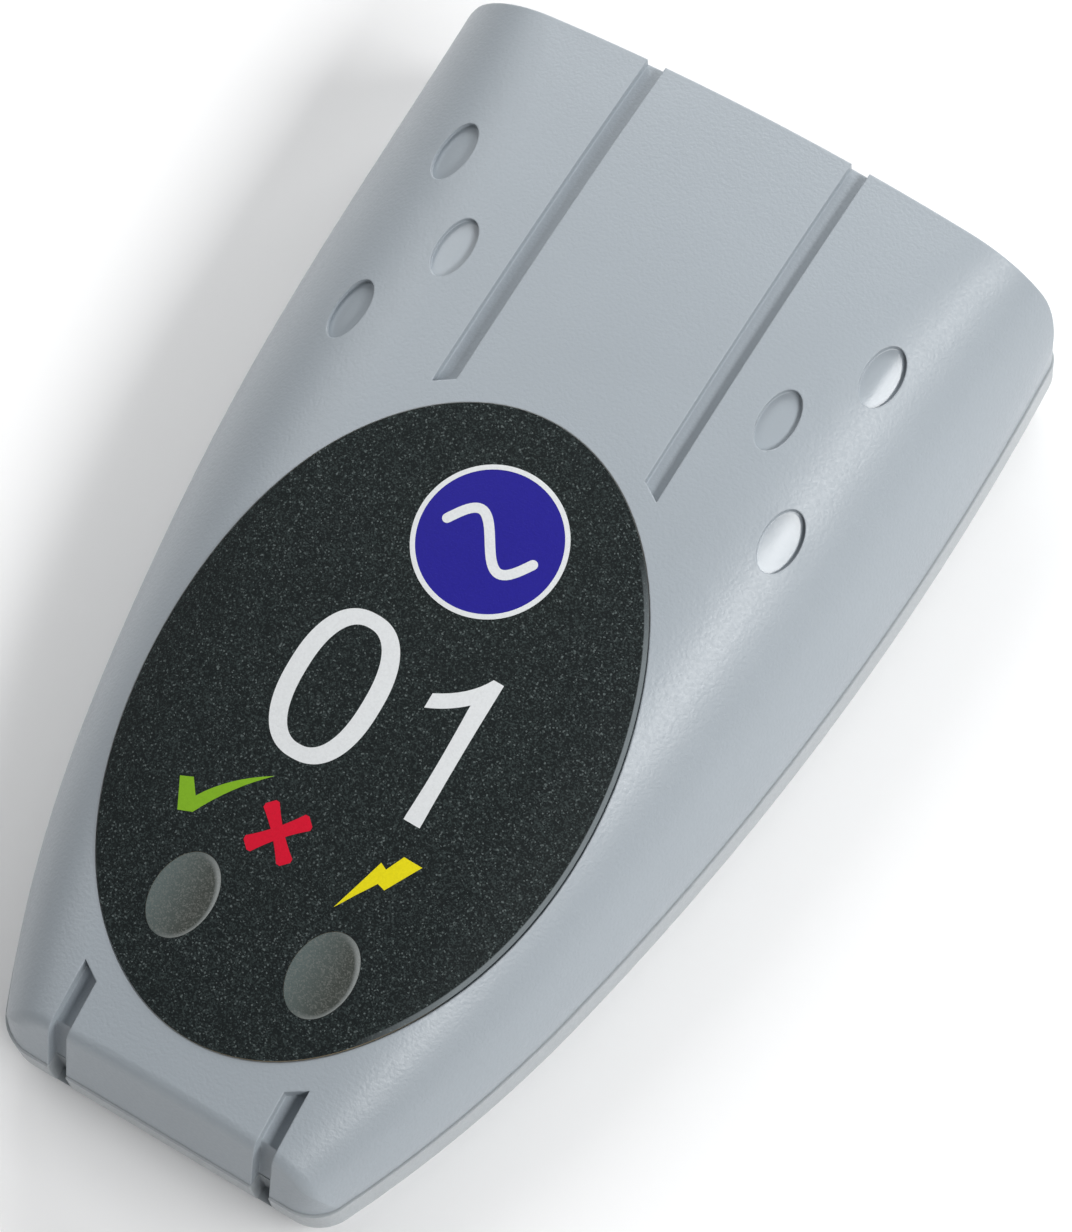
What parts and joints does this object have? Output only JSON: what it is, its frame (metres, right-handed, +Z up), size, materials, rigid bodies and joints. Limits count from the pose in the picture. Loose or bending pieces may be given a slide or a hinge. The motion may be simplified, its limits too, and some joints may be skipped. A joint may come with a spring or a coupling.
{
  "type": "circuit breaker finder",
  "caption": "Hand-held circuit breaker finder with a crowned two-part case, oval graphic film, lamp windows, modular socket and sliding battery door.",
  "frame": {"origin": "centre of the footprint on the flat underside", "axes": "+Z up out of the crowned top, +Y along the case towards the wide socket end, +X across"},
  "size_m": [0.0636, 0.1022, 0.0244],
  "materials": {
    "upper_plastic": "fine moulded grain, satin",
    "lower_plastic": "fine moulded grain, satin",
    "door_plastic": "fine moulded grain, satin",
    "film_black": "velvet polyester film",
    "film_clear": "translucent smoked film",
    "clear_plastic": "clear, polished",
    "lamp_body": "white case",
    "board_green": "solder mask",
    "chip_black": "moulded epoxy",
    "transformer_case": "moulded epoxy",
    "crystal_can": "drawn can",
    "tin_plate": "tinned",
    "resistor_body": "glazed chip",
    "capacitor_body": "fired chip",
    "capacitor_can": "drawn can",
    "socket_plastic": "moulded",
    "gold_wire": "gold flash",
    "cell_jacket": "printed jacket",
    "nickel_plate": "nickel plated",
    "spring_wire": "nickel plated",
    "screw_steel": "zinc plated"
  },
  "bodies": {
    "unit": {"upper_shell": "upper_plastic", "lower_shell": "lower_plastic", "label_overlay": "film_black", "status_window": "film_clear", "voltage_window": "film_clear", "status_light_pipe": "clear_plastic", "voltage_light_pipe": "clear_plastic", "status_led": "lamp_body", "voltage_led": "lamp_body", "circuit_board": "board_green", "controller_chip": "chip_black", "signal_transformer": "transformer_case", "voltage_regulator": "chip_black", "clock_crystal": "crystal_can", "controller_pins": "tin_plate", "chip_resistors": "resistor_body", "chip_capacitors": "capacitor_body", "smoothing_capacitor": "capacitor_can", "socket_housing": "socket_plastic", "socket_contacts": "gold_wire", "battery_cell_left": "cell_jacket", "battery_cell_right": "cell_jacket", "positive_contact": "nickel_plate", "negative_contact": "nickel_plate", "bridge_contact": "nickel_plate", "battery_springs": "spring_wire", "shell_screws": "screw_steel", "board_screws": "screw_steel"},
    "door": {"battery_door": "door_plastic"}
  },
  "joints": [
    {"name": "battery_door_slide", "type": "slide", "parent": "unit", "child": "door", "axis": [0, -1, 0], "range_m": [0, 0.072]}
  ]
}
